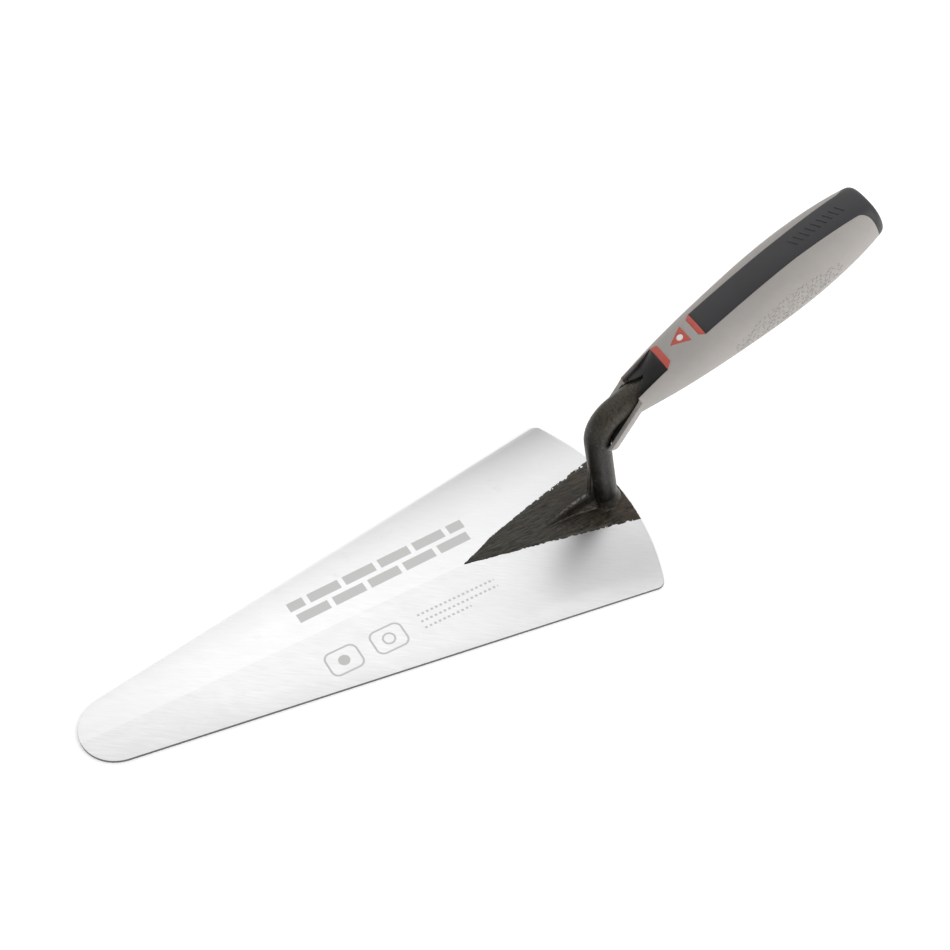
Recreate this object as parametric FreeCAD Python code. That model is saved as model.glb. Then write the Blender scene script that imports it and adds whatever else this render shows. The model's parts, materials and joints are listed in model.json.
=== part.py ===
import FreeCAD, Part
import math
import os

# Brick trowel: a blade, shank and tang forged in one piece of steel, with a two-colour grip
# moulded over the tang.  Millimetres.  The origin is on the underside of the blade, under the
# foot of the shank; +X runs from the shank over the heel towards the butt of the grip, +Z is up.

# ---- driving dimensions -------------------------------------------------------------------

# blade
heel_x = 8.3                 # heel edge on the centreline, behind the shank's foot
blade_length = 260.0         # nose to heel on the centreline
blade_width = 106.6          # across the two heel corners before they are rounded
nose_radius = 16.5
heel_radius = 120.0
heel_corner_radius = 4.5
edge_thickness = 1.4
crown_heel = 2.4             # thickness on the centreline at the heel
crown_nose = 1.7             # thickness on the centreline at the nose

# raised boss that carries the shank
boss_length = 81.0           # from the heel to the point of its V
boss_near_half_width = 17.6  # at the heel, on the -Y side
boss_far_half_width = 23.5   # at the heel, on the +Y side
boss_far_bow = 0.8           # exponent that bows the +Y border outwards
boss_rise = 1.1              # greatest height of its back over the blade
boss_stations = (            # share of the length from the point of the V, share of the rise
    (0.0, 0.1), (0.2, 0.5), (0.5, 0.8), (0.8, 0.8), (1.012, 0.35),
)
web_length = 26.0            # gusset in front of the shank, along the blade
web_height = 31.0            # top of the gusset on the shank, over the blade's underside
web_knee_height = 11.4
web_belly = 0.56             # height half way along, over the blade, by the knee's height
web_fin = 2.0                # its edge stands out of the shank by this at the knee
web_thickness = 3.0
foot_flare = 1.6             # the shank widens by this at its foot
foot_flare_height = 5.0

# shank and tang
shank_diameter = 11.6
shank_lean = 8.8             # degrees from upright, towards the nose
shank_straight = 45.0        # foot to the start of the bend
bend_radius = 14.5           # of the centreline
grip_pitch = 25.0            # degrees, the grip's axis over the blade
bend_to_mouth = 12.0         # end of the bend to the mouth of the grip
shank_in_grip = 12.0         # full round section inside the mouth
tang_share = 0.775           # length of the tang from the mouth, by the length of the grip
tang_root_share = 0.655      # side of its square root, by the diameter of the shank
tang_tip = 5.0
tang_notch_radius = 1.6      # notches that lock the moulding on the tang
tang_notch_shares = (0.32, 0.50, 0.68)

# grip, measured along its own axis from the mouth
grip_length = 124.0
grip_axis_lift = 1.0         # the grip's axis over the shank's axis
grip_stations = (            # share of the length, width, height, exponent of the section
    (0.073, 20.6, 19.2, 2.2),
    (0.202, 24.5, 22.9, 2.3),
    (0.403, 28.8, 27.0, 2.3),
    (0.629, 31.4, 29.4, 2.3),
    (0.806, 29.8, 27.8, 2.3),
    (0.927, 26.2, 24.4, 2.3),
    (1.000, 22.4, 20.6, 2.3),
)
butt_edge_radius = 4.0
skin = 2.2                   # soft skin over the hard core

# tongue: half cup of the grip under the bend of the shank
tongue_droop = 4.3           # degrees, its axis under the middle direction of the bend
tongue_bend = 5.2            # its axis leaves the grip's axis this far in front of the mouth
tongue_length = 23.5
tongue_gap = 0.4             # between the steel and its hollow
tongue_wall = 2.0
tongue_lining = 0.8          # part of the wall that belongs to the hard core
tongue_tip_radius = 3.0
tongue_step = 0.12           # the tongue stands proud of the grip by this where they meet
steel_clearance = 0.35       # round the steel, in front of the full round seat

# mouth: the pointed opening that the shank enters
mouth_apex = 6.0             # rearmost point of the opening, from the mouth plane
mouth_arch_near_share = 0.62  # half width at 2/5 of its length on the -Y side, by the radius
mouth_arch_far_share = 0.2    # of the shank, and on the +Y side, where the nose laps over it
mouth_side_reach = 1.9       # the sides run this far in front of the mouth plane
mouth_side_lift = 3.5        # their lower ends, over the shank's axis
lining_setback = 1.2         # the skin wraps over the lining at the tongue's rim

# hard black nose of the core, on top of the grip
nose_reach = 14.9
nose_side = 1.0              # its front half width, over the radius of the shank
nose_half_width_rear = 6.9
nose_wall = 0.5              # round the shank, at the front ends of the nose
nose_swell = 5.4             # it swells by this from its front ends to the front band
nose_swell_curl = 1.5        # exponent of the swell, slow at first
nose_floor = 1.0             # lowest level of the nose, over the grip's axis

# inlays on top of the grip
band_depth = 1.2
front_band_length = 3.1
front_band_half_width_rear = 5.2
rear_band_start = 33.7
rear_band_length = 2.5
rear_band_half_width_front = 4.8
strip_half_width = 6.6       # black spine strip
strip_half_width_rear = 7.5  # where it meets the butt cap
strip_waist_end = 85.0       # it widens from here
flank_corner_radius = 4.5    # rear upper corner of the grey skin
butt_cap_length = 4.4        # black cap that closes the end of the grip
badge_apex = 21.8
badge_length = 8.4
badge_half_width = 4.6
badge_depth = 0.9
emblem_diameter = 3.0
emblem_depth = 0.45

# ---- values worked out from them ----------------------------------------------------------

Vec = FreeCAD.Vector
ACROSS = Vec(0, 1, 0)
UP = Vec(0, 0, 1)
reach = 200.0                # larger than anything on the tool; used for trimming solids

nose_x = heel_x - blade_length
lean = math.radians(90.0 + shank_lean)
pitch = math.radians(grip_pitch)
along = Vec(math.cos(pitch), 0, math.sin(pitch))
over = Vec(-math.sin(pitch), 0, math.cos(pitch))
tongue_angle = (lean + pitch) / 2 - math.radians(tongue_droop)
tongue_along = Vec(math.cos(tongue_angle), 0, math.sin(tongue_angle))
tongue_over = Vec(-math.sin(tongue_angle), 0, math.cos(tongue_angle))

shank_radius = shank_diameter / 2
tongue_outer_radius = shank_radius + tongue_gap + tongue_wall
nose_half_width_front = shank_radius + nose_side
tang_length = tang_share * grip_length
tang_root = tang_root_share * shank_diameter
shank_up = Vec(math.cos(lean), 0, math.sin(lean))
shank_foot = shank_up * (0.2 * shank_radius + edge_thickness / 2)
bend_start = Vec(0, 0, 0) + shank_up * shank_straight
bend_centre = bend_start + Vec(math.sin(lean), 0, -math.cos(lean)) * bend_radius
bend_end = bend_centre + over * bend_radius
mouth = bend_end + along * bend_to_mouth
grip_origin = mouth + over * grip_axis_lift
tongue_origin = grip_origin - along * tongue_bend
strip_start = rear_band_start + rear_band_length


def grip_point(distance, side, lift):
    """A point given along, across and over the grip's axis."""
    return grip_origin + along * distance + ACROSS * side + over * lift


def crown(x):
    """Thickness of the blade on its centreline."""
    return crown_heel + (crown_nose - crown_heel) * (heel_x - x) / blade_length


# ---- helpers ------------------------------------------------------------------------------

def polygon(points):
    return Part.Wire(Part.makePolygon(list(points) + [points[0]]))


def prism(points, direction):
    return Part.Face(polygon(points)).extrude(direction)


def plan_prism(outline, low, high):
    """A block over an outline given along and across the grip, between two lifts."""
    points = [grip_point(distance, side, low) for distance, side in outline]
    return prism(points, over * (high - low))


def mirrored(half):
    """The half outline, then its mirror image across the centreline, back to the start."""
    return list(half) + [(distance, -side) for distance, side in reversed(half)]


def section(distance, width, height, exponent):
    """One closed superellipse section of the grip."""
    points = []
    power = 2.0 / exponent
    count = 32
    for step in range(count):
        turn = 2 * math.pi * (step + 0.5) / count
        side = math.copysign(abs(math.cos(turn)) ** power, math.cos(turn)) * width / 2
        lift = math.copysign(abs(math.sin(turn)) ** power, math.sin(turn)) * height / 2
        points.append(grip_point(distance, side, lift))
    curve = Part.BSplineCurve()
    curve.interpolate(Points=points, PeriodicFlag=True)
    return Part.Wire(curve.toShape())


def barrel(inset):
    """The body of the grip, smaller all round by the inset, open behind and in front."""
    width = 2 * (tongue_outer_radius - tongue_step)
    front = (-tongue_bend, width, width, 2.0)
    sections = []
    stations = [(share * grip_length, *rest) for share, *rest in grip_stations]
    for distance, width, height, exponent in [front] + stations:
        sections.append(section(distance, width - 2 * inset, height - 2 * inset, exponent))
    return Part.makeLoft(sections, True, False)


def rod(start, direction, radius, length):
    return Part.makeCylinder(radius, length, start, direction)


def shank_path(end_distance):
    first = Part.LineSegment(shank_foot, bend_start).toShape()
    middle_angle = (lean + pitch) / 2
    middle = bend_centre + Vec(-math.sin(middle_angle), 0, math.cos(middle_angle)) * bend_radius
    bend = Part.Arc(bend_start, middle, bend_end).toShape()
    last = Part.LineSegment(bend_end, mouth + along * end_distance).toShape()
    return Part.Wire([first, bend, last])


def round_bar(radius, end_distance):
    """A round bar along the shank's centreline, from the foot into the grip."""
    profile = Part.Wire(Part.makeCircle(radius, shank_foot, bend_start - shank_foot))
    return shank_path(end_distance).makePipeShell([profile], True, False)


def biggest(shape):
    """The main solid of a cut, without slivers that the cut left over."""
    return max(shape.Solids, key=lambda solid: solid.Volume)


# ---- forged blade -------------------------------------------------------------------------

def blade_outline():
    heel_centre = Vec(heel_x - heel_radius, 0, 0)
    corner_x = heel_centre.x + math.sqrt(heel_radius ** 2 - (blade_width / 2) ** 2)
    corner = Vec(corner_x, blade_width / 2, 0)
    nose_centre = Vec(nose_x + nose_radius, 0, 0)
    gap = corner - nose_centre
    turn = math.atan2(gap.y, gap.x) + math.acos(nose_radius / gap.Length)
    tangent = nose_centre + Vec(math.cos(turn), math.sin(turn), 0) * nose_radius
    corner_low = Vec(corner.x, -corner.y, 0)
    tangent_low = Vec(tangent.x, -tangent.y, 0)
    return Part.Wire([
        Part.Arc(tangent, Vec(nose_x, 0, 0), tangent_low).toShape(),
        Part.LineSegment(tangent_low, corner_low).toShape(),
        Part.Arc(corner_low, Vec(heel_x, 0, 0), corner).toShape(),
        Part.LineSegment(corner, tangent).toShape(),
    ])


def blade_slab(height):
    slab = Part.Face(blade_outline()).extrude(UP * height)
    corners = [
        edge for edge in slab.Edges
        if abs(edge.tangentAt(edge.FirstParameter).z) > 0.99 and edge.BoundBox.XMin > nose_x / 2
    ]
    return slab.makeFillet(heel_corner_radius, corners)


def blade_roof():
    """A long gable that gives the blade its crown and its thin edges."""
    slope = (crown_heel - edge_thickness) / (blade_width / 2)
    margin = 5.0
    half = blade_width / 2 + margin
    wires = []
    for x in (nose_x - margin, heel_x + margin):
        top = crown(x)
        side = top - slope * half
        wires.append(polygon([
            Vec(x, -half, -margin), Vec(x, -half, side), Vec(x, 0, top),
            Vec(x, half, side), Vec(x, half, -margin),
        ]))
    return Part.makeLoft(wires, True, True)


def boss():
    """The V of forged steel left standing on the blade, low at its borders."""
    tip_x = heel_x - boss_length
    root = edge_thickness / 2
    wires = []
    for share, rise_share in boss_stations:
        x = tip_x + share * boss_length
        near = -max(boss_near_half_width * share, 0.4)
        far = max(boss_far_half_width * share ** boss_far_bow, 0.4)
        rise = boss_rise * rise_share
        top = crown(x) + rise
        wires.append(polygon([
            Vec(x, near, root), Vec(x, 0.93 * near, top - 0.6 * rise),
            Vec(x, 0.5 * near, top - 0.2 * rise), Vec(x, 0, top),
            Vec(x, 0.5 * far, top - 0.2 * rise), Vec(x, 0.93 * far, top - 0.6 * rise),
            Vec(x, far, root),
        ]))
    return Part.makeLoft(wires, True, True)


def web():
    """Gusset that runs from the boss up the front of the shank."""
    front = -shank_radius
    knee = front - web_fin - web_knee_height * math.tan(math.radians(shank_lean))
    top = -web_height * math.tan(math.radians(shank_lean))
    profile = [
        (front - web_length, crown_heel + 0.6 * boss_rise),
        (front - web_length / 2, crown_heel + web_belly * web_knee_height),
        (knee, web_knee_height),
        (top - shank_radius + 0.4, web_height),
        (top, web_height),
        (0, edge_thickness),
        (front - web_length, edge_thickness),
    ]
    wires = []
    for side in (-1, 1):
        wires.append(polygon([Vec(x, side * web_thickness / 2, z) for x, z in profile]))
    plate = Part.makeLoft(wires, True, True)
    skirt_points = [
        (front - web_length, 0), (front - 4, web_thickness * 1.4), (0, web_thickness * 1.9),
    ]
    outline = [Vec(x, y, edge_thickness) for x, y in skirt_points]
    outline += [Vec(x, -y, edge_thickness) for x, y in reversed(skirt_points[1:])]
    apex = Vec(0, 0, web_knee_height)
    ridge = Part.makeLoft([polygon(outline), polygon([apex + (p - apex) * 0.12 for p in outline])],
                          True, True)
    return plate.fuse(ridge)


def foot():
    low = shank_up * (crown_heel + 0.5 * boss_rise)
    return Part.makeCone(shank_radius + foot_flare, shank_radius, foot_flare_height, low, shank_up)


def square(distance, size):
    half = size / 2
    corners = ((-half, -half), (half, -half), (half, half), (-half, half))
    points = [mouth + along * distance + ACROSS * a + over * b for a, b in corners]
    return polygon(points)


def tang():
    """Square taper inside the grip, with notches on both sides."""
    bar = Part.makeLoft([square(shank_in_grip - 2.0, tang_root), square(tang_length, tang_tip)], True)
    for place in [share * grip_length for share in tang_notch_shares]:
        share = (place - shank_in_grip) / (tang_length - shank_in_grip)
        half = (tang_root + (tang_tip - tang_root) * share) / 2
        for side in (-1, 1):
            middle = mouth + along * place + ACROSS * side * (half + 0.35 * tang_notch_radius)
            bar = bar.cut(rod(middle - over * tang_root, over, tang_notch_radius, 2 * tang_root))
    return bar


def forged_blade():
    plate = blade_slab(3 * crown_heel).common(blade_roof())
    rise = boss().fuse([web(), foot()])
    rise = rise.common(blade_slab(web_height + 5.0))
    steel = plate.fuse([rise, round_bar(shank_radius, shank_in_grip), tang()])
    return biggest(steel.removeSplitter())


# ---- grip ---------------------------------------------------------------------------------

def mouth_arch():
    """Block over the pointed opening, seen from above the grip."""
    low = -grip_axis_lift
    half = shank_radius + steel_clearance
    front = -mouth_side_reach - 1.0
    edges = []
    for side, share in ((1, mouth_arch_far_share), (-1, mouth_arch_near_share)):
        apex = grip_point(mouth_apex, 0, low)
        bulge = grip_point(0.4 * mouth_apex, side * share * shank_radius, low)
        end = grip_point(front, side * half, low)
        edges.append(Part.Arc(apex, bulge, end).toShape())
        edges.append(Part.LineSegment(end, grip_point(-reach, side * half, low)).toShape())
    far = [grip_point(-reach, side * half, low) for side in (1, -1)]
    edges.append(Part.LineSegment(*far).toShape())
    outline = Part.Wire(Part.__sortEdges__(edges))
    return Part.Face(outline).extrude(over * reach)


def rim_trim(drop):
    """Everything over the rim of the tongue, or over a line that lies lower by the drop."""
    start = grip_point(-mouth_side_reach, 0, mouth_side_lift - grip_axis_lift)
    start = start - tongue_over * drop
    rim_end = start - tongue_along * reach
    points = [start + over * reach, start, rim_end, rim_end + over * reach]
    points = [point - ACROSS * reach for point in points]
    return prism(points, ACROSS * 2 * reach)


def mouth_trim():
    return rim_trim(0.0).fuse(mouth_arch())


def tongue_rod(radius, length):
    """A round rod down the tongue's axis with a ball where it leaves the grip."""
    ball = Part.makeSphere(radius, tongue_origin)
    return rod(tongue_origin, tongue_along * -1, radius, length).fuse(ball)


def tongue_body():
    body = rod(tongue_origin, tongue_along * -1, tongue_outer_radius, tongue_length)
    end = [edge for edge in body.Edges if edge.CenterOfMass.z < tongue_origin.z - 10.0
           and abs(edge.Length - 2 * math.pi * tongue_outer_radius) < 0.01]
    body = body.makeFillet(tongue_tip_radius, end)
    return body.fuse(Part.makeSphere(tongue_outer_radius, tongue_origin))


def grip_envelope():
    """Outer shape of the whole moulded grip, before it is divided into its colours."""
    body = barrel(0.0)
    butt = [edge for edge in body.Edges
            if abs((edge.CenterOfMass - grip_origin).dot(along) - grip_length) < 0.5]
    body = body.makeFillet(butt_edge_radius, butt)
    return body.fuse(tongue_body()).cut(mouth_trim())


def steel_room():
    """Space of the shank and tang inside the grip, wider in front of the round seat."""
    seat_start = mouth_apex + 1.0
    wide = round_bar(shank_radius + steel_clearance, seat_start)
    return wide.fuse([round_bar(shank_radius, shank_in_grip), tang()])


def tongue_hollow():
    return tongue_rod(tongue_outer_radius - tongue_wall, reach / 4)


def nose_block():
    outline = mirrored([
        (-mouth_side_reach, nose_half_width_front),
        (nose_reach, nose_half_width_rear),
    ])
    return plan_prism(outline, nose_floor, reach / 4)


def nose_bell():
    """Bell round the shank that thins the nose towards the mouth."""
    start = mouth - along * mouth_side_reach
    length = mouth_side_reach + nose_reach
    rings = []
    for share in (0.0, 0.2, 0.4, 0.6, 0.8, 1.0, 1.2):
        radius = shank_radius + nose_wall + nose_swell * share ** nose_swell_curl
        rings.append(Part.Wire(Part.makeCircle(radius, start + along * length * share, along)))
    return Part.makeLoft(rings, True, False)


def core_block(envelope):
    """Hard core: the barrel under the skin and the lining of the tongue."""
    inner = barrel(skin)
    rear = grip_length - butt_cap_length
    keep = plan_prism(mirrored([(0.0, reach / 4), (rear, reach / 4)]), -reach / 4, reach / 4)
    lining = tongue_rod(tongue_outer_radius - tongue_wall + tongue_lining, tongue_length - 1.5)
    lining = lining.common(envelope).cut(rim_trim(lining_setback))
    return inner.common(keep).fuse(lining)


def strip_block():
    """Room of the spine strip and the butt cap, down to the core."""
    rear = grip_length - butt_cap_length
    outline = mirrored([
        (strip_start, strip_half_width), (strip_waist_end, strip_half_width),
        (rear, strip_half_width_rear), (rear + reach / 4, strip_half_width_rear),
    ])
    strip = plan_prism(outline, 0.0, reach / 4)
    cap = plan_prism(mirrored([(rear, reach / 4), (rear + reach / 4, reach / 4)]),
                     -reach / 4, reach / 4)
    block = strip.fuse(cap).removeSplitter()
    corners = []
    for edge in block.Edges:
        middle = edge.CenterOfMass - grip_origin
        if (abs(middle.dot(along) - rear) < 0.01
                and abs(abs(middle.y) - strip_half_width_rear) < 0.01):
            corners.append(edge)
    return block.makeFillet(flank_corner_radius, corners)


def front_band_block():
    rear = nose_reach + front_band_length
    outline = mirrored([(nose_reach, nose_half_width_rear), (rear, front_band_half_width_rear)])
    return plan_prism(outline, nose_floor, reach / 4)


def rear_band_block():
    outline = mirrored([
        (rear_band_start, rear_band_half_width_front), (strip_start, strip_half_width),
    ])
    return plan_prism(outline, nose_floor, reach / 4)


def badge_block():
    outline = [
        (badge_apex, 0.0), (badge_apex + badge_length, badge_half_width),
        (badge_apex + badge_length, -badge_half_width),
    ]
    return plan_prism(outline, nose_floor, reach / 4)


def emblem_block():
    foot_point = grip_point(badge_apex + 0.64 * badge_length, 0, nose_floor)
    return rod(foot_point, over, emblem_diameter / 2, reach / 4)


def inlay(envelope, block, depth):
    """The outer layer of the grip under a block."""
    return biggest(envelope.common(block).cut(barrel(depth)))


def cut_away(body, others):
    for other in others:
        body = body.cut(other)
    return biggest(body)


def grip_pieces():
    """Every moulded piece of the grip, cut from one outer shape so that they fit."""
    envelope = grip_envelope()
    core = core_block(envelope)
    openings = [tongue_hollow(), steel_room(), mouth_trim()]
    inlays = {
        "front_band": inlay(envelope, front_band_block(), band_depth),
        "rear_band": inlay(envelope, rear_band_block(), band_depth),
        "badge_emblem": inlay(envelope, emblem_block(), emblem_depth),
    }
    emblem = inlays["badge_emblem"]
    inlays["badge"] = cut_away(inlay(envelope, badge_block(), badge_depth), [emblem])
    nose = envelope.common(nose_block()).common(nose_bell())
    return {
        "handle_core": cut_away(core.fuse(nose), [inlays["front_band"]] + openings),
        "grip_shell": cut_away(
            envelope, [core, nose_block(), strip_block()] + openings + list(inlays.values())
        ),
        "spine_strip": cut_away(envelope.common(strip_block()), [core]),
        **inlays,
    }


# ---- build --------------------------------------------------------------------------------

def main():
    os.makedirs("parts", exist_ok=True)
    pieces = {"forged_blade": forged_blade(), **grip_pieces()}
    for name, shape in pieces.items():
        box = shape.BoundBox
        print(name, shape.ShapeType, "valid", shape.isValid(), "volume %.0f" % shape.Volume,
              "box %.1f %.1f %.1f to %.1f %.1f %.1f"
              % (box.XMin, box.YMin, box.ZMin, box.XMax, box.YMax, box.ZMax))
        shape.exportStep("parts/%s.step" % name)


main()
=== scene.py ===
import json
import math

import bmesh
import bpy
from bpy.props import FloatProperty, FloatVectorProperty, IntProperty, PointerProperty
from mathutils import Matrix, Vector
from mathutils.bvhtree import BVHTree


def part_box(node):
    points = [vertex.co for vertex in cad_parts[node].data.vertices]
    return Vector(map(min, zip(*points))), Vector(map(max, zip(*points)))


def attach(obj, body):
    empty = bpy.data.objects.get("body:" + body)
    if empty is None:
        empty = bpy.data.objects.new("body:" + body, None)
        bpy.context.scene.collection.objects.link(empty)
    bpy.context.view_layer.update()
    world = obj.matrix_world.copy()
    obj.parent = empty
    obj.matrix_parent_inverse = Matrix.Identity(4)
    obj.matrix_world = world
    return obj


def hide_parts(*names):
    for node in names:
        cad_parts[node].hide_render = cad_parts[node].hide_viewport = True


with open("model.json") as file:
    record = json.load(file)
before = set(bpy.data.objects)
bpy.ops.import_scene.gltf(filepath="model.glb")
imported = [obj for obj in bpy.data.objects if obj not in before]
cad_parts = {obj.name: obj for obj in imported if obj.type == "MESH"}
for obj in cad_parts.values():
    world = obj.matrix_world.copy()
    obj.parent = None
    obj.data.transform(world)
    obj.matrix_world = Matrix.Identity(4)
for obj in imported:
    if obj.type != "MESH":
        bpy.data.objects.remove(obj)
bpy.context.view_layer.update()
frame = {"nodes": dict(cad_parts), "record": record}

bl_info = {
    "name": "Brick Trowel",
    "version": (1, 0, 0),
    "blender": (4, 5, 0),
    "location": "View3D > Sidebar > Trowel",
    "description": "Builds a forged brick trowel with a two-colour moulded grip",
    "category": "Add Mesh",
}

MM = 0.001

# The grip's own directions, from the mount in the middle of its belly.
grip_mount = next(m for m in frame["record"]["mounts"] if m["name"] == "hand_grip")
BELLY = Vector(grip_mount["pos_m"])
ALONG = Vector(grip_mount["axis"]).normalized()
ACROSS = Vector((0.0, 1.0, 0.0))
OVER = ALONG.cross(ACROSS)
BELLY_DISTANCE = 78.0 * MM      # from the mouth of the grip to the mount
MOUTH = BELLY - ALONG * BELLY_DISTANCE
UP = Vector((0.0, 0.0, 1.0))


def grip_point(distance, side, lift):
    """A point given in millimetres along, across and over the grip's axis."""
    return MOUTH + ALONG * distance * MM + ACROSS * side * MM + OVER * lift * MM


# ---- working by hand, in code -------------------------------------------------------------

def work_on(obj):
    """Leaves only this object selected and active."""
    bpy.ops.object.select_all(action="DESELECT")
    obj.select_set(True)
    bpy.context.view_layer.objects.active = obj


def apply_modifier(obj, kind, **settings):
    modifier = obj.modifiers.new(kind.title(), kind)
    for key, value in settings.items():
        setattr(modifier, key, value)
    work_on(obj)
    bpy.ops.object.modifier_apply(modifier=modifier.name)


def merged_copy(node, name):
    """A copy of a CAD node with its loose triangles joined, ready to be worked on."""
    obj = bpy.data.objects.new(name, frame["nodes"][node].data.copy())
    obj.data.materials.clear()
    bpy.context.scene.collection.objects.link(obj)
    work_on(obj)
    bpy.ops.mesh.customdata_custom_splitnormals_clear()
    bpy.ops.object.mode_set(mode="EDIT")
    bpy.ops.mesh.select_all(action="SELECT")
    bpy.ops.mesh.remove_doubles(threshold=0.002 * MM)
    bpy.ops.mesh.dissolve_limited(angle_limit=math.radians(0.3))
    bpy.ops.object.mode_set(mode="OBJECT")
    return obj


def cut(obj, point, normal):
    """Takes away all that lies on the normal's side of a plane, and closes the cut."""
    work_on(obj)
    bpy.ops.object.mode_set(mode="EDIT")
    bpy.ops.mesh.select_all(action="SELECT")
    bpy.ops.mesh.bisect(
        plane_co=point, plane_no=normal, use_fill=True, clear_outer=True, threshold=0.001 * MM
    )
    bpy.ops.object.mode_set(mode="OBJECT")


def bevel_sharp_edges(obj, width, angle, wanted=None):
    """Rounds the edges that are sharper than an angle, where their middle is wanted."""
    work_on(obj)
    bpy.ops.object.mode_set(mode="EDIT")
    bpy.ops.mesh.select_all(action="DESELECT")
    bpy.ops.mesh.select_mode(type="EDGE")
    mesh = bmesh.from_edit_mesh(obj.data)
    for edge in mesh.edges:
        middle = (edge.verts[0].co + edge.verts[1].co) / 2
        if len(edge.link_faces) == 2 and edge.calc_face_angle() > angle:
            edge.select_set(wanted is None or wanted(middle))
    bmesh.update_edit_mesh(obj.data)
    bpy.ops.mesh.bevel(offset=width, segments=2, profile=0.5, clamp_overlap=True)
    bpy.ops.object.mode_set(mode="OBJECT")


def finish_piece(obj, slot, material, *nodes):
    """Gives a piece its body, its finish and the CAD nodes that it stands for."""
    obj.data.materials.clear()
    obj.data.materials.append(material)
    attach(obj, "root")
    if nodes:
        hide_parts(*nodes)
    return obj


# ---- materials ----------------------------------------------------------------------------

def linear(colour):
    """An sRGB hex colour as linear RGBA."""
    parts = [int(colour[i:i + 2], 16) / 255 for i in (1, 3, 5)]
    parts = [c / 12.92 if c <= 0.04045 else ((c + 0.055) / 1.055) ** 2.4 for c in parts]
    return (*parts, 1.0)


def shade(colour, factor=1.0):
    """A linear colour made lighter or darker, as RGBA."""
    return (*(min(c * factor, 1.0) for c in colour[:3]), 1.0)


def add(tree, kind, *values, named=None, out=0, **settings):
    """Adds a node with its settings, and a value or a link for each input by place or by name.

    Gives the output asked for, or the node itself where out is None.
    """
    node = tree.nodes.new("ShaderNode" + kind)
    for key, value in settings.items():
        setattr(node, key, value)
    for key, value in [*enumerate(values), *(named or {}).items()]:
        if isinstance(value, bpy.types.NodeSocket):
            tree.links.new(value, node.inputs[key])
        else:
            node.inputs[key].default_value = value
    return node if out is None else node.outputs[out]


def new_material(name):
    material = bpy.data.materials.new(name)
    material.use_nodes = True
    tree = material.node_tree
    tree.nodes.clear()
    shader = add(tree, "BsdfPrincipled", out=None)
    add(tree, "OutputMaterial", named={"Surface": shader.outputs[0]}, out=None)
    return material, tree, shader


def grain_of(tree, size, detail=4.0, roughness=0.55, stretch=(1.0, 1.0, 1.0),
             turn=(0.0, 0.0, 0.0)):
    """A grain with lumps of one size, in millimetres, times the stretch on each turned axis."""
    place = add(tree, "TexCoord", out="Object")
    turned = add(tree, "VectorRotate", place, named={"Rotation": turn}, rotation_type="EULER_XYZ")
    scale = tuple(1.0 / (size * MM * s) for s in stretch)
    scaled = add(tree, "Mapping", turned, named={"Scale": scale})
    grain = {"Vector": scaled, "Scale": 1.0, "Detail": detail, "Roughness": roughness}
    return add(tree, "TexNoise", named=grain, out="Fac")


def rounded_box(tree, x, y, centre, half, radius):
    """Signed distance in millimetres to a rounded box on the blade."""
    squares = []
    for value, middle, reach in zip((x, y), centre, half):
        offset = add(tree, "Math", value, middle, operation="SUBTRACT")
        across = add(tree, "Math", offset, operation="ABSOLUTE")
        past = add(tree, "Math", across, reach - radius, operation="SUBTRACT")
        out = add(tree, "Math", past, 0.0, operation="MAXIMUM")
        squares.append(add(tree, "Math", out, out, operation="MULTIPLY"))
    total = add(tree, "Math", *squares, operation="ADD")
    root = add(tree, "Math", total, operation="SQRT")
    return add(tree, "Math", root, radius, operation="SUBTRACT")


def inside(tree, distance):
    """1 inside a signed distance, 0 outside, with a tenth of a millimetre of softness."""
    return add(tree, "MapRange", distance, EDGE_SOFTNESS, -EDGE_SOFTNESS)


def outline(tree, distance, width):
    """1 on a line of one width along the border of a signed distance."""
    off_line = add(tree, "Math", distance, operation="ABSOLUTE")
    return inside(tree, add(tree, "Math", off_line, width / 2, operation="SUBTRACT"))


# Plain marks etched on the blade, in millimetres along and across it from the shank's foot.
EDGE_SOFTNESS = 0.06
LINE_WIDTH = 0.9
BOND_CORNER = (-149.0, 6.9)
BOND_SIZE = (87.0, 14.4)
BOND_SLOPE = 0.03               # it rises by this for each millimetre towards the heel
BOND_BRICKS = 5                 # bricks in one course
JOINT = 1.15                    # half the width of a joint
JOINT_SOFTNESS = 0.08
BADGE_CENTRES = ((-141.0, -17.8), (-119.6, -17.6))
BADGE_HALF = (7.3, 6.0)
BADGE_CORNER = 3.2
DISC = 2.6
RULE_START = -104.3
RULES = ((-13.4, -66.0), (-17.0, -66.0), (-20.5, -81.2))   # level and end of each
RULE_HALF_WIDTH = 0.55
DASH = 1.1


def brick_bond(tree, x, y):
    """Mask of two courses of bricks in running bond."""
    length, height = BOND_SIZE
    course, brick = height / 2, length / BOND_BRICKS
    across = add(tree, "Math", x, BOND_CORNER[0], operation="SUBTRACT")
    over = add(tree, "Math", y, BOND_CORNER[1], operation="SUBTRACT")
    slant = add(tree, "Math", across, BOND_SLOPE, operation="MULTIPLY")
    rise = add(tree, "Math", over, slant, operation="SUBTRACT")
    upper = add(tree, "Math", rise, course, operation="GREATER_THAN")
    shift = add(tree, "Math", upper, brick / 2, operation="MULTIPLY")
    shifted = add(tree, "Math", across, shift, operation="ADD")
    upright = add(tree, "Math", shifted, brick / 2, operation="PINGPONG")
    level = add(tree, "Math", rise, course / 2, operation="PINGPONG")
    to_joint = add(tree, "Math", upright, level, operation="MINIMUM")
    half = (length / 2, course)
    field = inside(tree, rounded_box(tree, across, rise, half, half, 0.4))
    bricks = add(tree, "MapRange", to_joint, JOINT - JOINT_SOFTNESS, JOINT + JOINT_SOFTNESS)
    return add(tree, "Math", bricks, field, operation="MULTIPLY")


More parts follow.
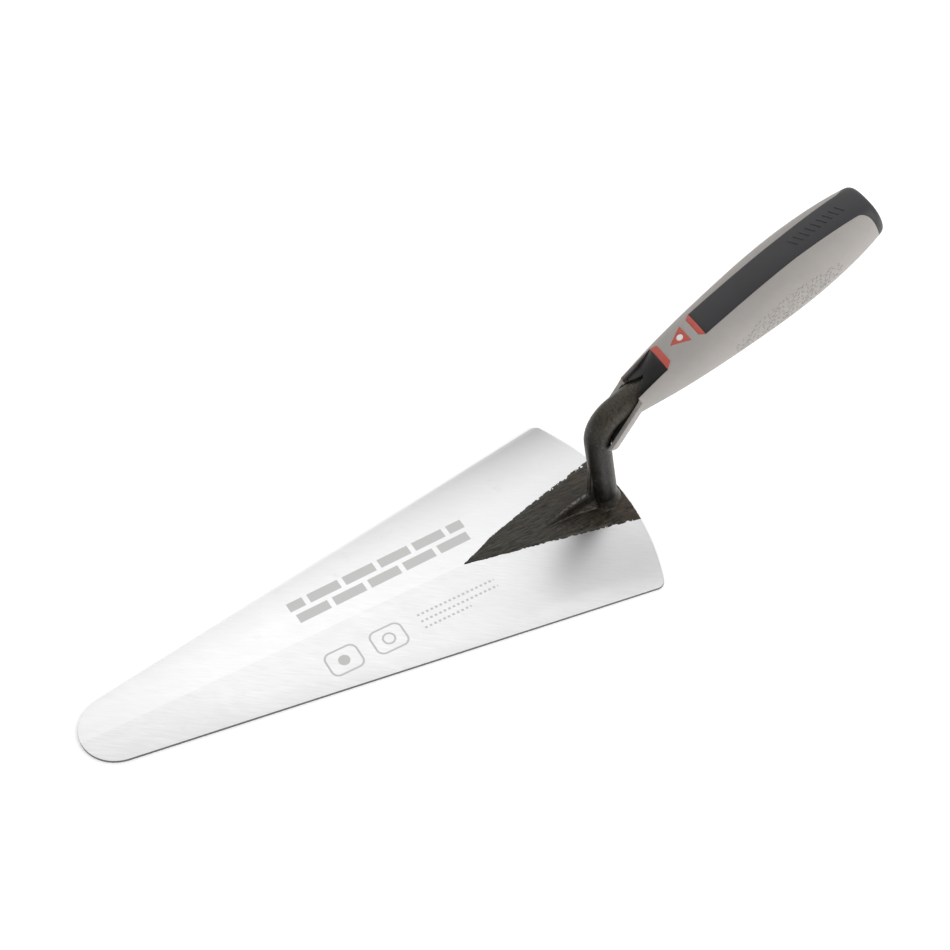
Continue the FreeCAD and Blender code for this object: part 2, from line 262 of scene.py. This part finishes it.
def etched_marks(tree):
    """Mask of the plain marks etched on the blade: a brick bond, two badges and three rules."""
    place = add(tree, "SeparateXYZ", add(tree, "TexCoord", out="Object"), out=None).outputs
    x = add(tree, "Math", place[0], 1 / MM, operation="MULTIPLY")
    y = add(tree, "Math", place[1], 1 / MM, operation="MULTIPLY")
    masks = [brick_bond(tree, x, y)]
    solid, ring = (rounded_box(tree, x, y, middle, (DISC, DISC), DISC) for middle in BADGE_CENTRES)
    masks += [inside(tree, solid), outline(tree, ring, LINE_WIDTH)]
    for middle in BADGE_CENTRES:
        border = rounded_box(tree, x, y, middle, BADGE_HALF, BADGE_CORNER)
        masks.append(outline(tree, border, LINE_WIDTH))
    run = add(tree, "Math", x, RULE_START, operation="SUBTRACT")
    dashes = add(tree, "MapRange", add(tree, "Math", run, DASH, operation="PINGPONG"), 0.45, 0.6)
    for level, end in RULES:
        middle = ((RULE_START + end) / 2, level)
        half = ((end - RULE_START) / 2, RULE_HALF_WIDTH)
        rule = inside(tree, rounded_box(tree, x, y, middle, half, 0.2))
        masks.append(add(tree, "Math", rule, dashes, operation="MULTIPLY"))
    made = masks[0]
    for mask in masks[1:]:
        made = add(tree, "Math", made, mask, operation="MAXIMUM")
    return made


def ground_steel(finish):
    # Carbon steel, surface-ground and clear-lacquered: nearly white, with a fine wavy grain from
    # the belt that lies aslant over the blade, faint storage stains and grey etched marks. The far
    # ground face is painted a little lighter as painted light, and the upright edge faces are
    # painted dark as painted shade.
    material, tree, shader = new_material("ground_carbon_steel")
    base = finish.ground_steel
    rgba = {"data_type": "RGBA", "out": 2}
    grain = grain_of(tree, 1.0, 5.0, 0.6, stretch=(9.0, 0.55, 2.0),
                     turn=(0.0, 0.0, math.radians(38)))
    cloud = grain_of(tree, 26.0, 3.0)
    stain = add(tree, "MapRange", grain_of(tree, 9.0, 4.0, 0.65), 0.62, 0.78)
    marks = etched_marks(tree)
    side = add(tree, "SeparateXYZ", add(tree, "TexCoord", out="Object"), out=1)
    # painted light: the far ground face (+Y) is painted a little lighter than the near one
    painted_far_face_light = add(tree, "MapRange", side, -0.15 * MM, 0.15 * MM)
    facing = add(tree, "SeparateXYZ", add(tree, "NewGeometry", out="Normal"), out=2)
    upright = add(tree, "Math", facing, operation="ABSOLUTE")
    layers = (
        (add(tree, "MapRange", grain, 0.35, 0.65, 0.0, 0.6), shade(base, 0.90)),
        (add(tree, "Math", painted_far_face_light, 0.5, operation="MULTIPLY"), shade(base, 1.05)),
        (add(tree, "Math", stain, 0.12, operation="MULTIPLY"), linear("#b9a98c")),
        (add(tree, "Math", marks, 0.72, operation="MULTIPLY"), shade(finish.etch)),
        (add(tree, "MapRange", upright, 0.75, 0.35), linear("#6d6c69")),     # painted shade on the upright edge faces
    )
    clouded = add(tree, "MapRange", cloud, 0.3, 0.7)
    colour = add(tree, "Mix", clouded, named={6: shade(base, 0.955), 7: shade(base, 1.015)},
                 **rgba)
    for amount, tint in layers:
        colour = add(tree, "Mix", amount, named={6: colour, 7: tint}, **rgba)
    rough = add(tree, "MapRange", grain, 0.3, 0.7, 0.36, 0.46)
    etched_rough = add(tree, "Math", marks, 0.62, operation="MULTIPLY")
    etched_depth = add(tree, "Math", marks, 0.5, operation="MULTIPLY")
    height = add(tree, "Math", grain, etched_depth, operation="SUBTRACT")
    shader.inputs["Metallic"].default_value = 1.0
    tree.links.new(colour, shader.inputs["Base Color"])
    tree.links.new(add(tree, "Math", rough, etched_rough, operation="MAXIMUM"),
                   shader.inputs["Roughness"])
    tree.links.new(add(tree, "Bump", named={"Height": height, "Distance": 0.02 * MM,
                                            "Strength": 0.6}), shader.inputs["Normal"])
    return material


def forge_scale(finish):
    # Hot-forged steel with its black oxide scale left on: satin near-black with pits, brown
    # patches towards the heel, streaks along the forging and bare metal on worn edges. The top
    # of the shank and the upward faces of the boss are painted lighter as painted light from
    # above.
    material, tree, shader = new_material("forged_steel_with_scale")
    base = finish.forge_scale
    rgba = {"data_type": "RGBA", "out": 2}
    pits = grain_of(tree, 1.1, 5.0, 0.65)
    streaks = grain_of(tree, 1.0, 5.0, 0.7, stretch=(6.0, 0.7, 1.6))
    drawn = grain_of(tree, 1.0, 5.0, 0.7, stretch=(0.9, 0.9, 7.0),
                     turn=(0.0, math.radians(20), 0.0))
    patches = grain_of(tree, 6.0, 4.0, 0.6)
    place = add(tree, "SeparateXYZ", add(tree, "TexCoord", out="Object"), out=None).outputs
    low_down = add(tree, "MapRange", place[2], 0.007, 0.003)
    high_up = add(tree, "MapRange", place[2], 0.046, 0.062)
    heelwards = add(tree, "MapRange", place[0], -0.030, 0.004)

    # the shank, its top by the grip painted lighter as painted light, and a few pale specks
    half_patches = add(tree, "Math", patches, 0.5, operation="MULTIPLY")
    half_drawn = add(tree, "Math", drawn, 0.5, operation="MULTIPLY")
    handled = add(tree, "Math", half_patches, half_drawn, operation="ADD")
    dusty = add(tree, "Mix", add(tree, "MapRange", handled, 0.42, 0.60),
                named={6: shade(base, 0.15), 7: shade(base, 1.1)}, **rgba)
    # painted light: the top of the shank, high up, is painted lighter as if lit from above
    painted_top_light = add(tree, "Mix", add(tree, "MapRange", drawn, 0.35, 0.65),
                 named={6: shade(base, 1.3), 7: shade(base, 3.3)}, **rgba)
    speck = add(tree, "MapRange", grain_of(tree, 0.9, 2.0), 0.70, 0.74, 0.0, 0.6)

    # the boss, streaked along the blade and brown towards the heel; its streaked tone is also
    # painted lighter than the shank's, as painted light on its upward faces
    # partly painted light: real streaks, with the boss's tone lifted above the shank's as painted
    # light
    streaks_and_painted_light = add(tree, "Mix", add(tree, "MapRange", streaks, 0.38, 0.66),
                  named={6: shade(base, 0.35), 7: shade(base, 3.2)}, **rgba)
    brown = add(tree, "Math", low_down, heelwards, operation="MULTIPLY")
    patchy = add(tree, "MapRange", patches, 0.45, 0.62, 0.0, 0.55)

    # bare metal along the worn edges, strongest near the shank
    wear = add(tree, "Attribute", out="Fac", attribute_name="wear")
    broken = add(tree, "MapRange", pits, 0.42, 0.60, 0.0, 0.75)
    worn = add(tree, "Math", wear, broken, operation="MULTIPLY")
    near_shank = add(tree, "MapRange", place[0], -0.032, -0.016, 0.1, 1.0)
    worn = add(tree, "Math", worn, near_shank, operation="MULTIPLY")

    layers = (
        (high_up, painted_top_light),
        (speck, linear("#8d8577")),
        (low_down, streaks_and_painted_light),
        (add(tree, "Math", brown, patchy, operation="MULTIPLY"), linear("#4b3a2b")),
        (worn, linear("#8f8a80")),
    )
    colour = dusty
    for amount, tint in layers:
        colour = add(tree, "Mix", amount, named={6: colour, 7: tint}, **rgba)
    low_streaks = add(tree, "Math", streaks, 0.6, operation="MULTIPLY")
    height = add(tree, "Math", pits, low_streaks, operation="ADD")
    shader.inputs["Specular IOR Level"].default_value = 0.34
    tree.links.new(colour, shader.inputs["Base Color"])
    tree.links.new(add(tree, "MapRange", worn, 0.0, 1.0, 0.15, 1.0), shader.inputs["Metallic"])
    tree.links.new(add(tree, "MapRange", pits, 0.3, 0.7, 0.28, 0.46), shader.inputs["Roughness"])
    tree.links.new(add(tree, "Bump", named={"Height": height, "Distance": 0.12 * MM,
                                            "Strength": 0.7}), shader.inputs["Normal"])
    return material


def moulded(name, colour, roughness, grain, depth, variation, sheen=0.0):
    """A moulded plastic or rubber: fine spark-eroded grain and slow colour variation."""
    material, tree, shader = new_material(name)
    fine = grain_of(tree, grain, 3.0, 0.6)
    slow = add(tree, "Math", grain_of(tree, 14.0, 3.0), 0.6, operation="MULTIPLY")
    smudge = grain_of(tree, 3.5, 4.0, 0.65)
    quick = add(tree, "Math", smudge, 0.4, operation="MULTIPLY")
    tone = add(tree, "MapRange", add(tree, "Math", slow, quick, operation="ADD"), 0.35, 0.65)
    varied = {6: shade(colour, 1.0 - variation), 7: shade(colour, 1.0 + variation)}
    tree.links.new(add(tree, "Mix", tone, named=varied, data_type="RGBA", out=2),
                   shader.inputs["Base Color"])
    tree.links.new(add(tree, "MapRange", smudge, 0.3, 0.7, roughness - 0.05, roughness + 0.05),
                   shader.inputs["Roughness"])
    tree.links.new(add(tree, "Bump", named={"Height": fine, "Distance": depth * MM,
                                            "Strength": 0.8}), shader.inputs["Normal"])
    shader.inputs["IOR"].default_value = 1.5
    if sheen:
        shader.inputs["Sheen Weight"].default_value = sheen
        shader.inputs["Sheen Roughness"].default_value = 0.5
    return material


# ---- what a user may change ---------------------------------------------------------------

def colour_property(name, description, colour):
    return FloatVectorProperty(name=name, description=description, default=linear(colour)[:3],
                               subtype="COLOR", min=0.0, max=1.0, size=3)


def length_property(name, description, millimetres):
    return FloatProperty(name=name, description=description, default=millimetres * MM,
                         unit="LENGTH", min=0.0)


class TrowelFinish(bpy.types.PropertyGroup):
    ground_steel: colour_property("Ground steel", "Ground faces of the blade", "#f2f2f3")
    etch: colour_property("Etch", "Etched marks on the blade", "#c6c6c3")
    forge_scale: colour_property("Forge scale", "Black scale on the forging", "#2a2721")
    skin: colour_property("Skin", "Soft grey skin of the grip", "#aaa5a1")
    core: colour_property("Core", "Hard black core of the grip", "#1b1a19")
    strip: colour_property("Strip", "Soft black strip and butt cap", "#302f32")
    inlay: colour_property("Inlay", "Red bands and badge", "#c2564a")
    emblem: colour_property("Emblem", "White disc in the badge", "#efedea")


class TrowelSteel(bpy.types.PropertyGroup):
    heel_x: length_property("Heel", "Heel edge behind the shank's foot", 8.3)
    crown_heel: length_property("Crown at the heel", "Thickness on the centreline", 2.4)
    crown_nose: length_property("Crown at the nose", "Thickness on the centreline", 1.7)
    edge_thickness: length_property("Edge", "Thickness at the corners of the heel", 1.4)
    edge_round: length_property("Edge rounding", "Width of the broken edges", 0.25)
    boss_length: length_property("Boss", "Length of the V from the heel", 81.0)
    boss_near: length_property("Boss, near", "Half width at the heel on -Y", 17.6)
    boss_far: length_property("Boss, far", "Half width at the heel on +Y", 23.5)
    boss_far_bow: FloatProperty(name="Bow", description="Exponent of the far border", default=0.8)
    skin_voxel: length_property("Voxel", "Fineness of the forged surface", 0.42)
    forge_lumps: length_property("Lumps", "Depth of the hammered surface", 0.7)


class TrowelGrip(bpy.types.PropertyGroup):
    seam_round: length_property("Seam rounding", "Width of the moulded edges", 0.16)
    tick_radius: length_property("Tick", "Radius of one raised crescent", 0.62)
    tick_thickness: length_property("Tick thickness", "Half thickness of a crescent", 0.20)
    tick_pitch: length_property("Tick pitch", "Spacing along the grip", 2.0)
    bar_count: IntProperty(name="Bars", description="Raised bars on the strip", default=9, min=1)


# ---- steel --------------------------------------------------------------------------------

SKIM = 0.02 * MM                # taken off the ground faces, to cut clear of the boss
BOSS_MARGIN = 0.35 * MM         # left round the border of the V
BOSS_SHARES = (0.0, 0.2, 0.5, 0.8, 1.012)    # of the V's length, where its border bends


def roof_plane(steel, side, lift):
    """A point and the normal of the blade's ground face on one side, raised by the lift."""
    nose_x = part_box("forged_blade")[0].x
    half_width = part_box("forged_blade")[1].y
    rise = (steel.crown_heel - steel.crown_nose) / (steel.heel_x - nose_x)
    fall = (steel.crown_heel - steel.edge_thickness) / half_width
    point = Vector((steel.heel_x, 0.0, steel.crown_heel + lift))
    return point, Vector((-rise, side * fall, 1.0)).normalized()


class TROWEL_OT_blade(bpy.types.Operator):
    """Cuts the flat blade from the forging and breaks its edges"""
    bl_idname = "trowel.blade"
    bl_label = "Blade"

    def execute(self, context):
        steel = context.scene.trowel_steel
        blade = merged_copy("forged_blade", "blade_plate")
        for side in (-1, 1):
            cut(blade, *roof_plane(steel, side, -SKIM))
        bevel_sharp_edges(blade, steel.edge_round, math.radians(50))
        work_on(blade)
        bpy.ops.object.shade_smooth_by_angle(angle=math.radians(25))
        finish = context.scene.trowel_finish
        finish_piece(blade, "ground_steel", ground_steel(finish), "forged_blade")
        return {"FINISHED"}


# The front edge of the gusset, from the boss up the front of the shank, and the part of the
# shank that the opening of the grip rubs.
GUSSET_EDGE = [Vector((x, 0.0, z)) * MM for x, z in (
    (-31.8, 3.4), (-24.0, 6.2), (-18.8, 8.6), (-9.6, 11.4), (-10.1, 20.0), (-10.7, 31.0))]
MOUTH_EDGE = [grip_point(5.3, 0.2, 4.8), grip_point(3.8, -2.4, 3.9)]


def rub_bright(obj, width, *lines):
    """Marks the vertices near some lines as worn down to bare metal."""
    wear = obj.data.attributes.new("wear", "FLOAT", "POINT")
    runs = [run for line in lines for run in zip(line, line[1:])]
    for vertex in obj.data.vertices:
        gap = min((vertex.co - nearest_on(vertex.co, a, b)).length for a, b in runs)
        wear.data[vertex.index].value = max(0.0, min(1.0, 2.0 - gap / (width * MM)))


def nearest_on(place, start, end):
    run = end - start
    share = max(0.0, min(1.0, (place - start).dot(run) / run.length_squared))
    return start + run * share


class TROWEL_OT_forging(bpy.types.Operator):
    """Shapes the boss, the gusset and the round shank with their hammered skin"""
    bl_idname = "trowel.forging"
    bl_label = "Shank and boss"

    def execute(self, context):
        steel = context.scene.trowel_steel
        forging = merged_copy("forged_blade", "shank_and_boss")
        tip = Vector((steel.heel_x - steel.boss_length, 0.0, 0.0))
        far = [tip + Vector((s * steel.boss_length, steel.boss_far * s ** steel.boss_far_bow, 0))
               for s in BOSS_SHARES]
        near = [tip, tip + Vector((steel.boss_length, -steel.boss_near, 0))]
        for side, border in ((1, far), (-1, near)):
            for start, end in zip(border, border[1:]):
                run = end - start
                normal = Vector((-run.y, run.x, 0)).normalized() * side
                cut(forging, start + normal * BOSS_MARGIN, normal)
        cut(forging, Vector((0, 0, 0.9 * MM)), -UP)
        cut(forging, grip_point(9.0, 0, 0), ALONG)
        forging.data.remesh_voxel_size = steel.skin_voxel
        work_on(forging)
        bpy.ops.object.voxel_remesh()
        apply_modifier(forging, "SMOOTH", factor=0.5, iterations=3)

        weights = forging.vertex_groups.new(name="hammered")
        for vertex in forging.data.vertices:
            height = vertex.co.z / MM
            share = 1.0 if height < 4.0 else max(0.12, 1.0 - (height - 4.0) / 4.0)
            weights.add([vertex.index], share if height > 1.6 else 0.4, "REPLACE")
        for name, size, depth in (("forge_lumps", 5.5, 0.5), ("forge_pits", 1.5, 0.6)):
            texture = bpy.data.textures.new(name, "CLOUDS")
            texture.noise_scale = size * MM
            texture.noise_depth = 2
            apply_modifier(forging, "DISPLACE", texture=texture, texture_coords="LOCAL",
                           strength=steel.forge_lumps * depth, mid_level=0.5,
                           vertex_group="hammered")
        rub_bright(forging, 0.45, GUSSET_EDGE, MOUTH_EDGE)
        work_on(forging)
        bpy.ops.object.shade_smooth()
        finish = context.scene.trowel_finish
        finish_piece(forging, "ground_steel", forge_scale(finish), "forged_blade")
        return {"FINISHED"}


# ---- grip ---------------------------------------------------------------------------------

def grip_material(name, finish):
    # Each is injection moulded: the hard core in black polypropylene with a satin skin, the
    # grey skin and black strip in thermoplastic rubber that look dull and slightly powdery,
    # and the inlays in glossier coloured plastic.
    if name == "core":
        return moulded("moulded_polypropylene_black", finish.core, 0.42, 0.5, 0.010, 0.08)
    if name == "skin":
        return moulded("moulded_rubber_grey", finish.skin, 0.62, 0.45, 0.016, 0.035, sheen=0.08)
    if name == "strip":
        return moulded("moulded_rubber_black", finish.strip, 0.50, 0.4, 0.012, 0.06, sheen=0.04)
    if name == "inlay":
        return moulded("moulded_plastic_red", finish.inlay, 0.45, 0.6, 0.006, 0.05)
    return moulded("printed_plastic_white", finish.emblem, 0.45, 0.6, 0.004, 0.02)


class TROWEL_OT_grip(bpy.types.Operator):
    """Rounds the edges of the moulded parts of the grip"""
    bl_idname = "trowel.grip"
    bl_label = "Grip mouldings"

    def execute(self, context):
        size, finish = context.scene.trowel_grip, context.scene.trowel_finish
        mouldings = (
            ("handle_core", "core_moulding", "core_black", "core"),
            ("grip_shell", "grip_skin", "skin_grey", "skin"),
            ("spine_strip", "spine_strip_moulding", "strip_black", "strip"),
            ("front_band", "front_band_inlay", "inlay_red", "inlay"),
            ("rear_band", "rear_band_inlay", "inlay_red", "inlay"),
            ("badge", "badge_inlay", "inlay_red", "inlay"),
            ("badge_emblem", "badge_disc", "emblem_white", "emblem"),
        )
        materials = {}
        for node, name, slot, material in mouldings:
            moulding = merged_copy(node, name)
            bevel_sharp_edges(moulding, size.seam_round, math.radians(35))
            work_on(moulding)
            bpy.ops.object.shade_smooth_by_angle(angle=math.radians(35))
            if material not in materials:
                materials[material] = grip_material(material, finish)
            finish_piece(moulding, slot, materials[material], node)
        return {"FINISHED"}


def surface_of(name):
    """A search tree of a piece's surface."""
    return BVHTree.FromObject(bpy.data.objects[name], bpy.context.evaluated_depsgraph_get())


def seated(tree, start, direction):
    """Where a line meets a surface, and the surface's normal there."""
    place, normal, _, _ = tree.ray_cast(start, direction)
    if place is None:
        raise RuntimeError("a raised mark found no surface under it")
    return place, normal


def copy_onto(pattern, place, normal, forward):
    """One copy of a mark with its back to the surface and its nose forward."""
    side = normal.cross(forward).normalized()
    ahead = side.cross(normal)
    mark = pattern.copy()
    mark.data = pattern.data.copy()
    turn = Matrix((ahead, side, normal)).transposed().to_4x4()
    mark.data.transform(Matrix.Translation(place) @ turn)
    bpy.context.scene.collection.objects.link(mark)
    return mark


def joined(marks, name):
    work_on(marks[0])
    for mark in marks:
        mark.select_set(True)
    bpy.ops.object.join()
    marks[0].name = name
    return marks[0]


class TROWEL_OT_relief(bpy.types.Operator):
    """Lays the raised crescents on both flanks of the skin"""
    bl_idname = "trowel.relief"
    bl_label = "Flank relief"

    def execute(self, context):
        size = context.scene.trowel_grip
        bpy.ops.object.select_all(action="DESELECT")
        bpy.ops.mesh.primitive_torus_add(
            major_radius=size.tick_radius, minor_radius=size.tick_thickness,
            major_segments=12, minor_segments=6,
        )
        crescent = bpy.context.active_object
        cut(crescent, Vector((0.15 * size.tick_radius, 0, 0)), Vector((-1, 0, 0)))
        surface = surface_of("grip_skin")
        start, end, pitch = 43.0, 99.0, size.tick_pitch / MM
        marks = []
        for side in (-1, 1):
            for column in range(int((end - start) / pitch) + 1):
                distance = start + column * pitch
                share = (distance - start) / (end - start)
                middle = -2.0 + 9.0 * share - 7.0 * share ** 2
                half = 1.2 + 3.9 * math.sin(math.pi * share) ** 0.7
                rows = max(int(2 * half / 1.75) + 1, 2)
                for row in range(rows):
                    lift = middle - half + 2 * half * row / (rows - 1)
                    shift = 0.5 * pitch * (row % 2)
                    place, normal = seated(surface, grip_point(distance + shift, 30 * side, lift),
                                           ACROSS * -side)
                    turn = math.radians((0, 70, 200, 290, 140)[(2 * row + 3 * column) % 5])
                    forward = ALONG * math.cos(turn) + OVER * math.sin(turn)
                    marks.append(copy_onto(crescent, place, normal, forward))
        bpy.data.objects.remove(crescent)
        relief = joined(marks, "flank_relief")
        bpy.ops.object.shade_smooth()
        finish_piece(relief, "skin_grey", bpy.data.materials["moulded_rubber_grey"])
        return {"FINISHED"}


class TROWEL_OT_bars(bpy.types.Operator):
    """Lays a row of plain slanted bars on the spine strip"""
    bl_idname = "trowel.bars"
    bl_label = "Strip bars"

    def execute(self, context):
        size = context.scene.trowel_grip
        bpy.ops.object.select_all(action="DESELECT")
        bpy.ops.mesh.primitive_cube_add(size=1.0)
        bar = bpy.context.active_object
        bar.data.transform(Matrix.Diagonal((0.9 * MM, 4.6 * MM, 0.5 * MM, 1.0)))
        bevel_sharp_edges(bar, 0.18 * MM, math.radians(60))
        surface = surface_of("spine_strip_moulding")
        start, end = 88.0, 112.0
        marks = []
        for number in range(size.bar_count):
            distance = start + (end - start) * number / (size.bar_count - 1)
            place, normal = seated(surface, grip_point(distance, 0, 30), -OVER)
            marks.append(copy_onto(bar, place, normal, ALONG + ACROSS * 0.5))
        bpy.data.objects.remove(bar)
        bars = joined(marks, "strip_bars")
        bpy.ops.object.shade_smooth_by_angle(angle=math.radians(35))
        finish_piece(bars, "strip_black", bpy.data.materials["moulded_rubber_black"])
        return {"FINISHED"}


# ---- stage --------------------------------------------------------------------------------

def soft_light(name, place, aim, size, power):
    light = bpy.data.lights.new(name, "AREA")
    light.shape = "DISK"
    light.size = size
    light.energy = power
    lamp = bpy.data.objects.new(name, light)
    lamp.location = place
    lamp.rotation_euler = (aim - place).to_track_quat("-Z", "Y").to_euler()
    bpy.context.scene.collection.objects.link(lamp)


class TROWEL_OT_stage(bpy.types.Operator):
    """Sets the pale floor, the soft lights and the camera"""
    bl_idname = "trowel.stage"
    bl_label = "Stage"

    def execute(self, context):
        scene = context.scene
        bpy.ops.object.select_all(action="DESELECT")
        bpy.ops.mesh.primitive_plane_add(size=60.0)
        floor = bpy.context.active_object
        floor.name = "floor"
        material, tree, shader = new_material("matt_white_paper")
        shader.inputs["Base Color"].default_value = linear("#f8f8f8")
        shader.inputs["Roughness"].default_value = 0.9
        shader.inputs["Emission Color"].default_value = (1, 1, 1, 1)
        shader.inputs["Emission Strength"].default_value = 0.35
        floor.data.materials.append(material)

        world = bpy.data.worlds.new("studio_white")
        world.use_nodes = True
        # White all round, brightest high up behind the tool, where the ceiling panel hangs.
        tree = world.node_tree
        sky = tree.nodes["Background"]
        sky.inputs["Color"].default_value = (1, 1, 1, 1)
        ray = add(tree, "TexCoord", out="Generated")
        facing = add(tree, "VectorMath", ray, (0.0, 0.55, 0.835), operation="DOT_PRODUCT",
                     out="Value")
        panel = add(tree, "Math", add(tree, "Math", facing, 0.0, operation="MAXIMUM"), 2.5,
                    operation="POWER")
        tree.links.new(add(tree, "MapRange", panel, 0.0, 1.0, 0.29, 0.91), sky.inputs["Strength"])
        scene.world = world
        scene.view_settings.view_transform = "Standard"

        aim = Vector((-0.04, 0.04, 0.03))
        soft_light("key_light", Vector((1.0, -1.5, 1.2)), aim, 2.0, 24.0)
        soft_light("back_light", aim + Vector((0.33, 0.56, 0.76)) * 2.4, aim, 4.0, 14.5)

        target = Vector((-42.24, 42.68, 0.0)) * MM
        turn, height, distance = math.radians(-30.52), math.radians(49.744), 900 * MM
        back = Vector((math.sin(turn) * math.cos(height), -math.cos(turn) * math.cos(height),
                       math.sin(height)))
        camera = bpy.data.objects.new("camera", bpy.data.cameras.new("camera"))
        camera.data.lens = 75.86
        camera.data.sensor_width = 36.0
        camera.location = target + back * distance
        camera.rotation_euler = (-back).to_track_quat("-Z", "Y").to_euler()
        scene.collection.objects.link(camera)
        scene.camera = camera
        return {"FINISHED"}


# ---- panel and registration ---------------------------------------------------------------

STEPS = (TROWEL_OT_stage, TROWEL_OT_blade, TROWEL_OT_forging, TROWEL_OT_grip, TROWEL_OT_relief,
         TROWEL_OT_bars)


class TROWEL_PT_panel(bpy.types.Panel):
    """Lists the steps that build the trowel"""
    bl_label = "Brick Trowel"
    bl_idname = "TROWEL_PT_panel"
    bl_space_type = "VIEW_3D"
    bl_region_type = "UI"
    bl_category = "Trowel"

    def draw(self, context):
        for group in (context.scene.trowel_steel, context.scene.trowel_grip,
                      context.scene.trowel_finish):
            for name in group.bl_rna.properties.keys():
                if name not in {"name", "rna_type"}:
                    self.layout.prop(group, name)
        for step in STEPS:
            self.layout.operator(step.bl_idname)


CLASSES = (TrowelFinish, TrowelSteel, TrowelGrip) + STEPS + (TROWEL_PT_panel,)


def register():
    for cls in CLASSES:
        bpy.utils.register_class(cls)
    bpy.types.Scene.trowel_finish = PointerProperty(type=TrowelFinish)
    bpy.types.Scene.trowel_steel = PointerProperty(type=TrowelSteel)
    bpy.types.Scene.trowel_grip = PointerProperty(type=TrowelGrip)


def unregister():
    for name in ("trowel_grip", "trowel_steel", "trowel_finish"):
        delattr(bpy.types.Scene, name)
    for cls in reversed(CLASSES):
        bpy.utils.unregister_class(cls)


def main():
    register()
    bpy.ops.trowel.stage()
    bpy.ops.trowel.blade()
    bpy.ops.trowel.forging()
    bpy.ops.trowel.grip()
    bpy.ops.trowel.relief()
    bpy.ops.trowel.bars()


if __name__ == "__main__":
    main()
